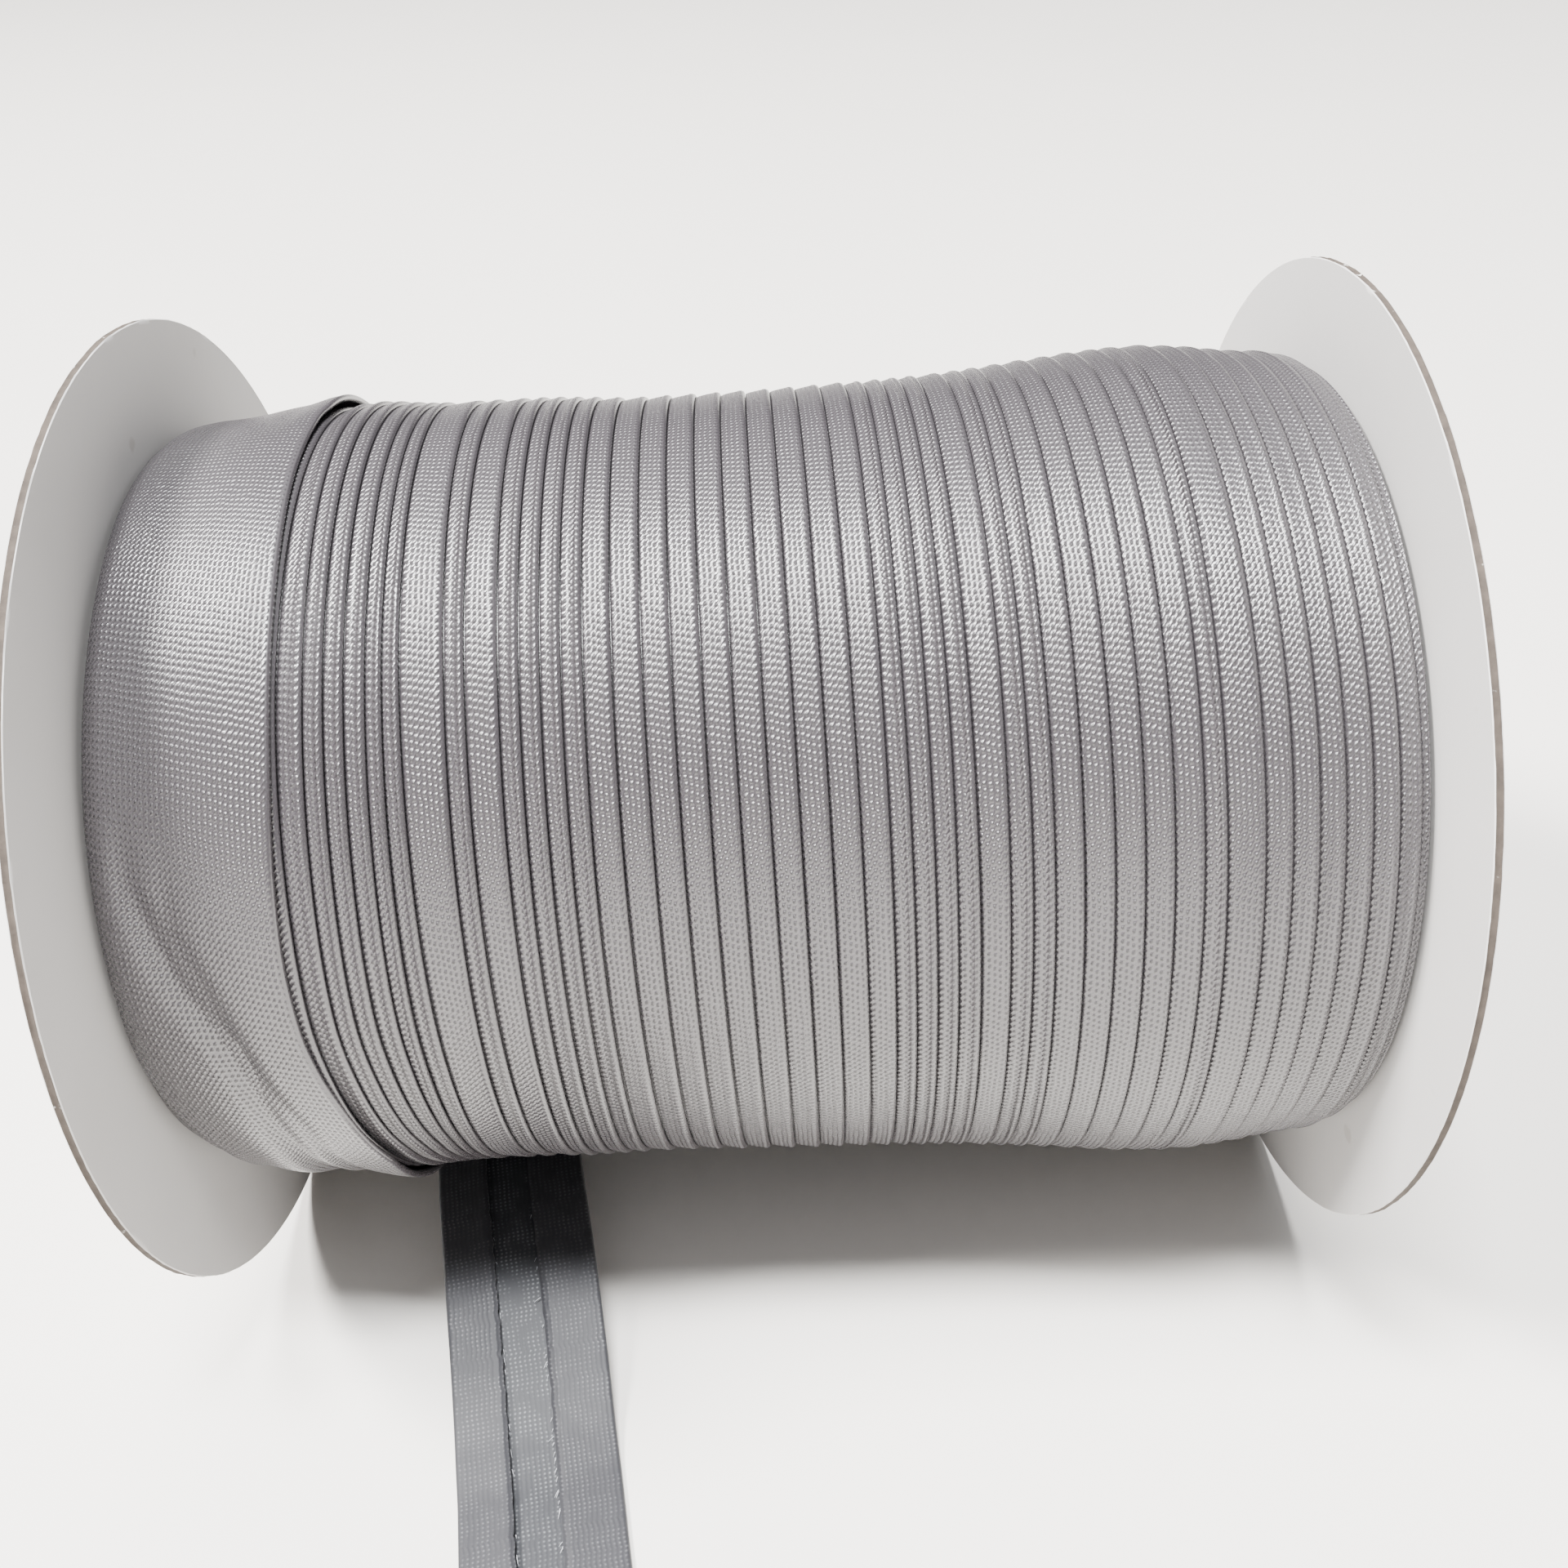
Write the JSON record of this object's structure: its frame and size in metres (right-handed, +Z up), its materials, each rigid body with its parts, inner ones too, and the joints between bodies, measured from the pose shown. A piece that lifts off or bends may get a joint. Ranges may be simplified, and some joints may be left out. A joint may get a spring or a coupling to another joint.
{
  "type": "satin bias tape on a flanged cardboard spool",
  "caption": "Folded satin bias tape wound in lapped wraps across a wide cardboard spool lying on its side, with its loose end drawn out in front.",
  "frame": {"origin": "middle of the footprint, on the surface the spool lies on", "axes": "+X along the spool from its left flange to its right one, +Y to the back, away from the loose end, +Z up"},
  "size_m": [0.144, 0.1466, 0.1237],
  "materials": {
    "satin_tape": "silver grey satin, lustrous, fine slanted weave",
    "tape_back": "dull wrong side of the satin, blue grey, with two folded flaps",
    "chipboard": "matte white paper face, brown grey cut edge"
  },
  "bodies": {
    "root": {"winding": "satin_tape", "tail": "tape_back", "flange_left": "chipboard", "flange_right": "chipboard"}
  },
  "joints": []
}
